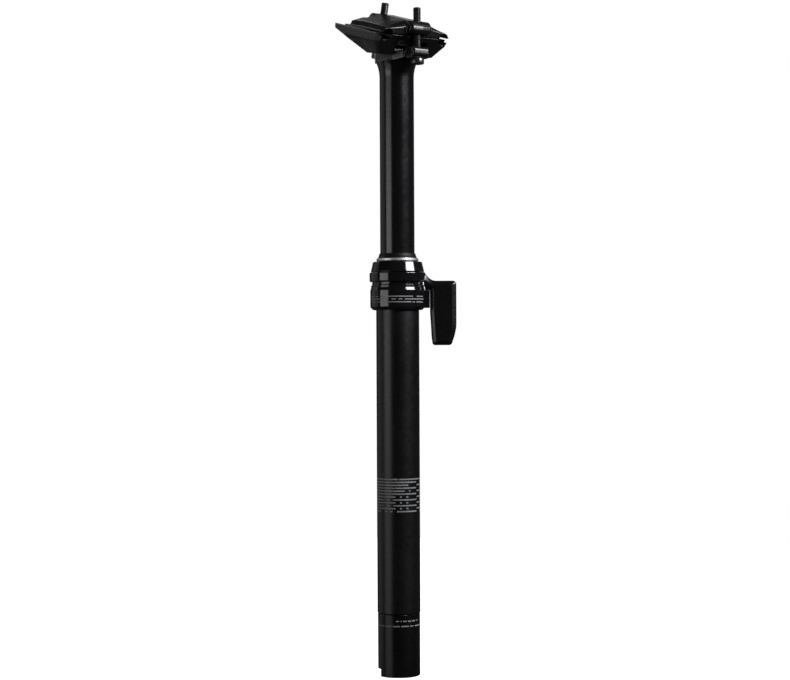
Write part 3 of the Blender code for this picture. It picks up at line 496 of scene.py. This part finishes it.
def build_collar():
    outline = [
        (13.75, 230.5), (15.6, 230.5, 0.35), (17.3, 232.3, 0.4), (17.3, 242.9, 0.5), (16.75, 244.7, 0.3),
        (16.7, 246.0, 0.12), (16.1, 246.4, 0.15), (16.1, 248.0, 0.2), (13.75, 248.0),
    ]
    body = placed("collar_turned", turned("collar_turned", rounded(outline)))
    lug = [(15.0 * MM, -3.4 * MM), (15.0 * MM, 3.4 * MM)] + arc((0, 0), 20.35 * MM, 10.5, -10.5, 10)
    tool = placed("lug", extruded("lug", lug, 231.8 * MM, 242.8 * MM, "Z"), rotation=(0, 0, LEVER))
    bevelled(tool, 0.3, 3)
    combine(body, tool.data.copy(), "UNION")
    bpy.data.objects.remove(tool, do_unlink=True)
    dressed(body, "outer_post", ["collar_body"], "gloss_black", weighted=True)

    outline = [
        (13.75, 254.5), (17.0, 254.5, 0.35), (15.5, 260.9, 0.45), (13.15, 260.9, 0.2), (13.15, 258.6),
        (11.4, 258.6), (11.4, 257.3), (13.75, 257.3),
    ]
    cap = placed("seal_cap_turned", turned("seal_cap_turned", rounded(outline)))
    dressed(cap, "outer_post", ["seal_head"], "gloss_black")

    outline = [
        (11.05, 258.8), (13.0, 258.8), (13.0, 261.15), (12.0, 261.3), (12.0, 263.3), (12.3, 263.6, 0.3),
        (11.7, 264.9, 0.5), (11.4, 266.2, 0.12), (11.05, 266.2, 0.08),
    ]
    wiper = placed("wiper_lip", turned("wiper_lip", rounded(outline)))
    dressed(wiper, "outer_post", ["wiper_seal"], "rubber")

    snap = placed("snap_wire", turned("snap_wire", rounded(ring(12.15, 13.27, 261.4, 263.1), 0.3, 5)))
    gap = block("snap_gap", (10, -1.4, 260), (15, 1.4, 265))
    combine(snap, gap, rotation=(0, 0, LEVER + math.radians(100)))
    dressed(snap, "outer_post", ["snap_ring"], "steel")
    snap.data.materials[0] = MATERIALS["steel_dull"]


def lever_outline():
    """The arm and paddle from the side, as (distance from the post's axis, height)."""
    points = [(15.2, 253.7), (17.4, 253.6)]
    for i in range(1, 12):
        s = i / 12
        points.append((17.4 + 7.0 * s, 248.9 + 4.7 * (1 - s) ** 2.2))
    points += arc((37.1 - 2.2, 248.9 - 2.2), 2.2, 90, 0, 8)
    points += [(37.1, 221.5), (36.95, 219.3), (36.55, 217.2), (36.15, 215.3), (35.6, 213.3), (34.6, 210.6)]
    points += arc((32.2, 210.6), 2.4, -10, -90, 6)
    points += arc((23.6, 209.9), 1.7, -90, -175, 6)
    points += [(21.4, 213.3), (21.0, 221.0), (20.5, 229.0), (20.45, 242.4)]
    points += arc((19.9, 242.4), 0.55, 15, 90, 4)
    points += [(15.2, 242.95)]
    return in_mm(points)


def cam_ramp():
    past, swing = math.radians(5.0), math.radians(18.0)
    steps = 12
    work = bmesh.new()
    rows = []
    for i in range(steps + 1):
        a = past - (swing + 2 * past) * i / steps
        high = min(252.9 + a * 1.5 / swing, 253.3)
        row = []
        for r, z in ((13.0, 247.0), (16.3, 247.0), (16.3, high), (13.0, high)):
            row.append(work.verts.new((r * MM * math.cos(a), r * MM * math.sin(a), z * MM)))
        rows.append(row)
    for low, up in zip(rows, rows[1:]):
        for i in range(4):
            j = (i + 1) % 4
            work.faces.new((low[i], low[j], up[j], up[i]))
    work.faces.new(reversed(rows[0]))
    work.faces.new(rows[-1])
    return mesh_from(work, "cam_ramp")


def inset(outline, amount):
    """The closed outline moved inwards, corner by corner."""
    points = [Vector(p) for p in outline]
    area = sum(a.x * b.y - b.x * a.y for a, b in zip(points, points[1:] + points[:1]))
    turn = 1 if area > 0 else -1
    moved = []
    for i, here in enumerate(points):
        before = (here - points[i - 1]).normalized()
        after = (points[(i + 1) % len(points)] - here).normalized()
        inward = (Vector((-before.y, before.x)) + Vector((-after.y, after.x))) * turn / 2
        moved.append(here + inward / max(inward.length_squared, 0.4) * amount)
    following = points[1:] + points[:1]
    kept = [(moved[(i + 1) % len(points)] - moved[i]).dot(following[i] - p) > 0 for i, p in enumerate(points)]
    run = []
    for k in range(len(points)):  # a corner tighter than the inset closes to one point
        i = (kept.index(True) + 1 + k) % len(points)
        run.append(i)
        if kept[i]:
            middle = sum((moved[m] for m in run), Vector((0, 0))) / len(run)
            for m in run:
                moved[m] = middle
            run = []
    return moved


def pillowed(name, outline, half, border):
    """A plate across Y whose faces slope down to its edge: border holds (distance in, drop) in millimetres."""
    work = bmesh.new()
    rows = [[(p.x, -half + drop * MM, p.y) for p in inset(outline, far * MM)] for far, drop in reversed(border)]
    rows += [[(p.x, half - drop * MM, p.y) for p in inset(outline, far * MM)] for far, drop in border]
    loops = [[work.verts.new(p) for p in row] for row in rows]
    for low, up in zip(loops, loops[1:]):
        for i in range(len(low)):
            j = (i + 1) % len(low)
            work.faces.new((low[i], low[j], up[j], up[i]))
    work.faces.new(reversed(loops[0]))
    work.faces.new(loops[-1])
    return mesh_from(work, name)


def build_lever():
    border = [(0.0, 2.0), (0.12, 1.6), (0.4, 1.28), (0.9, 0.95), (2.1, 0.28), (2.5, 0.1), (2.9, 0.02)]
    border.append((3.3, 0.0))
    blade = placed("blade", pillowed("blade", lever_outline(), 4 * MM, border))
    clearance = [(0, 240.0), (17.6, 240.0), (17.6, 245.2), (17.0, 245.8), (17.0, 248.3), (0, 248.3)]
    combine(blade, turned("clearance", in_mm(clearance)))
    outline = rounded(ring(13.95, 17.7, 248.3, 254.2), 0.7, 5)
    lever = placed("lever_cast", turned("lever_cast", outline))
    combine(lever, cam_ramp(), rotation=(0, 0, OPPOSITE))
    blade.data.transform(Matrix.Rotation(LEVER, 4, "Z"))
    welded = bmesh.new()
    welded.from_mesh(lever.data)
    welded.from_mesh(blade.data)
    welded.to_mesh(lever.data)
    welded.free()
    bpy.data.objects.remove(blade, do_unlink=True)
    dressed(lever, "hand_lever", ["lever_ring"], "gloss_black", weighted=True)
    lever.data.materials.append(MATERIALS["satin_black"])
    for face in lever.data.polygons:
        if math.hypot(face.center.x, face.center.y) > 17.9 * MM:
            face.material_index = 1


# ---------------------------------------------------------------- head and saddle clamp

def forged(name, body, node, pitch=0.34, passes=5):
    """The node's shape with its edges softened as forging and blasting leave them."""
    data = frame["nodes"][node].data.copy()
    thing = placed(name, data)
    weld = thing.modifiers.new("weld", "WELD")
    weld.merge_threshold = 0.002 * MM
    bake(thing)
    voxels = thing.modifiers.new("voxels", "REMESH")
    voxels.mode = "VOXEL"
    voxels.voxel_size = pitch * MM
    softer = thing.modifiers.new("soft", "SMOOTH")
    softer.factor = 0.5
    softer.iterations = passes
    bake(thing)
    thing.data.materials.clear()
    return dressed(thing, body, [node], "forged_black", 180.0)


def threaded(name, head_low, head_high, length, pitch=0.8):
    """A socket bolt along Z: a rounded head below, and a shank with a running thread."""
    work = bmesh.new()
    sides, per_turn = 40, 8
    shank, depth = 2.45, 0.26
    start = head_high + 1.2
    rows = []
    profile = [(0.0, head_low), (3.5, head_low), (3.85, head_low + 0.1), (4.1, head_low + 0.3)]
    profile += [(4.2, head_low + 0.6), (4.2, head_high - 0.25), (4.1, head_high - 0.05), (3.9, head_high)]
    profile += [(2.6, head_high), (shank, head_high + 0.15)]
    for r, z in profile:
        rows.append([(r, z)] * sides)
    count = int((length - 0.7 - start) / pitch * per_turn)
    for k in range(count + 1):
        row = []
        z = start + k * pitch / per_turn
        for s in range(sides):
            phase = (z / pitch - s / sides) % 1.0
            run_in = min(1.0, (z - start) / pitch, (length - 0.7 - z) / pitch + 0.3)
            row.append((shank - depth * run_in * (1 - abs(2 * phase - 1)) ** 0.8, z))
        rows.append(row)
    rows += [[(2.0, length - 0.25)] * sides, [(1.7, length)] * sides, [(0.0, length)] * sides]
    loops = []
    for row in rows:
        loop = []
        for s, (r, z) in enumerate(row):
            a = 2 * math.pi * s / sides
            loop.append(work.verts.new((r * MM * math.cos(a), r * MM * math.sin(a), z * MM)))
        loops.append(loop)
    for low, up in zip(loops, loops[1:]):
        for i in range(sides):
            j = (i + 1) % sides
            work.faces.new((low[i], low[j], up[j], up[i]))
    return mesh_from(work, name)


def clamp_point(local):
    return Matrix.Rotation(CLAMP_TILT, 3, "Y") @ local + Vector((0, 0, BOSS_Z))


def build_bolt(which, washer, nut, length, nut_length):
    top = clamp_point(nut)
    lean = math.atan2(top.x - washer.x, top.z - washer.z)
    turn = (0, lean, 0)
    name = f"{which}_washer_turned"
    piece = placed(name, crosswise(name, 3.4 * MM, 12.8 * MM, edge=0.6), washer, turn)
    combine(piece, block("flat", (-5, -20, -9), (5, 20, -2.3)), location=washer, rotation=turn)
    bore = turned("bore", in_mm([(0, -9), (2.7, -9), (2.7, 9), (0, 9)]), FINE)
    combine(piece, bore, location=washer, rotation=turn)
    dressed(piece, f"{which}_washer", [f"{which}_barrel_washer"], "bolt_black", weighted=True)

    head_high = -2.45
    head_low = head_high - 3.6
    name = f"{which}_bolt_threaded"
    bolt = placed(name, threaded(name, head_low, head_high, length), washer, turn)
    outline = [(0, head_low - 1), (2.3, head_low - 1), (2.3, head_low + 2.2), (0, head_low + 2.9)]
    socket = turned("socket", in_mm(outline), 6)
    combine(bolt, socket, location=washer, rotation=turn)
    dressed(bolt, f"{which}_screw", [f"{which}_bolt"], "bolt_black")

    name = f"{which}_nut_turned"
    barrel = placed(name, crosswise(name, 3.6 * MM, nut_length * MM, edge=0.45), top)
    thread = turned("thread", in_mm([(0, -9), (2.95, -9), (2.95, 9), (0, 9)]), FINE)
    combine(barrel, thread, location=top, rotation=turn)
    dressed(barrel, f"{which}_nut", [f"{which}_barrel_nut"], "bolt_black", weighted=True)


def build_clamp():
    forged("head_forged", "stanchion", "head_forging")
    forged("cradle_forged", "cradle", "lower_cradle")
    forged("upper_forged", "upper", "upper_clamp")
    build_bolt("front", FRONT_WASHER, FRONT_NUT, 29.4, 13.4)
    build_bolt("rear", REAR_WASHER, REAR_NUT, 29.9, 17.4)


def dress_inner_nodes():
    """The inner pieces keep their CAD shapes and take the node finishes of their slots."""
    slots = {}
    for part in frame["record"]["subparts"]:
        slots[part["node"]] = part["material_slot"]
    for name, thing in frame["nodes"].items():
        if thing.hide_render:
            continue
        thing.data.materials.clear()
        thing.data.materials.append(MATERIALS[slots[name]])


# ---------------------------------------------------------------- studio and camera

def direction(azimuth, elevation):
    """Out from the post, that many degrees right of the camera and above the horizon."""
    a, e = math.radians(FACING + azimuth), math.radians(elevation)
    return Vector((math.cos(a) * math.cos(e), math.sin(a) * math.cos(e), math.sin(e)))


def panel(name, azimuth, elevation, width, height, radiance, colour=(1, 1, 1), distance=1.6, at=0.25):
    """A soft rectangular light that faces the post."""
    light = bpy.data.lights.new(name, "AREA")
    light.shape = "RECTANGLE"
    light.size = width
    light.size_y = height
    light.energy = radiance * 4 * width * height
    light.color = colour
    thing = bpy.data.objects.new(name, light)
    bpy.context.scene.collection.objects.link(thing)
    out = direction(azimuth, elevation)
    thing.location = Vector((0, 0, at)) + out * distance
    thing.rotation_euler = out.to_track_quat("Z", "Y").to_euler()
    thing.visible_camera = False
    return thing


def glow(name, colour, strength):
    made = bpy.data.materials.new(name)
    made.use_nodes = True
    tree = made.node_tree
    tree.nodes.clear()
    out = tree.nodes.new("ShaderNodeOutputMaterial")
    emit = tree.nodes.new("ShaderNodeEmission")
    emit.inputs["Color"].default_value = (*colour, 1)
    emit.inputs["Strength"].default_value = strength
    tree.links.new(emit.outputs["Emission"], out.inputs["Surface"])
    return made


def unseen_but_by_camera(thing):
    for ray in ("diffuse", "glossy", "transmission", "volume_scatter", "shadow"):
        setattr(thing, f"visible_{ray}", False)


def build_studio():
    work = bmesh.new()
    bmesh.ops.create_icosphere(work, subdivisions=4, radius=7.0)
    bmesh.ops.reverse_faces(work, faces=work.faces)
    backdrop = placed("backdrop", mesh_from(work, "backdrop"))
    backdrop.data.materials.append(glow("backdrop_white", (1, 1, 1), 1.0))
    unseen_but_by_camera(backdrop)

    floor = placed("floor", turned("floor", in_mm([(0, -2.0), (900, -2.0), (900, -0.4), (0, -0.4)]), 96))
    made, tree, shader = nodes_of("floor_pale")
    shader.inputs["Base Color"].default_value = (0.9, 0.9, 0.9, 1)
    shader.inputs["Roughness"].default_value = 0.9
    shader.inputs["Emission Color"].default_value = (1, 1, 1, 1)
    shader.inputs["Emission Strength"].default_value = 0.97
    floor.data.materials.append(made)
    floor.visible_glossy = False
    floor.visible_diffuse = False

    warm, cool = (1.0, 0.95, 0.93), (0.95, 0.97, 1.0)
    panel("left_strip", -58, 0, 1.15, 1.2, 0.75, warm, at=0.19)
    panel("left_core", -59, 0, 1.0, 0.36, 1.25, warm, distance=1.58, at=0.33)
    panel("right_window", 61, 27, 1.05, 0.5, 21.0, cool)
    panel("left_rim", -113, 29, 0.40, 0.45, 1.7, warm)
    panel("left_back_fill", -112, 0, 1.3, 1.2, 0.22, warm, at=0.25)
    panel("white_behind", 180, 20, 1.3, 1.0, 0.4)

    world = bpy.data.worlds.new("studio_dark")
    bpy.context.scene.world = world
    world.use_nodes = True
    shade = world.node_tree.nodes["Background"]
    shade.inputs["Color"].default_value = (1, 1, 1, 1)
    shade.inputs["Strength"].default_value = 0.04
    settings = bpy.context.scene.view_settings
    settings.view_transform = "Standard"
    settings.look = "None"


def build_camera():
    lens = bpy.data.cameras.new("camera")
    lens.sensor_width = 36.0
    lens.lens = 91.14
    camera = bpy.data.objects.new("camera", lens)
    bpy.context.scene.collection.objects.link(camera)
    pitch, yaw, roll = math.radians(0.131), math.radians(-0.080), math.radians(0.252)
    up = Vector((0, 0, 1))
    level = RIGHT * math.sin(yaw) - TOWARD * math.cos(yaw)
    look = level * math.cos(pitch) + up * math.sin(pitch)
    side = look.cross(up).normalized()
    above = side.cross(look)
    turn = Matrix((side, above, -look)).transposed().to_4x4()
    place = Matrix.Translation(TOWARD * 1.2645 + up * 0.2087)
    camera.matrix_world = place @ turn @ Matrix.Rotation(-roll, 4, "Z")
    bpy.context.scene.camera = camera


build_tubes()
build_foot()
build_prints()
build_collar()
build_lever()
build_clamp()
dress_inner_nodes()
build_studio()
build_camera()
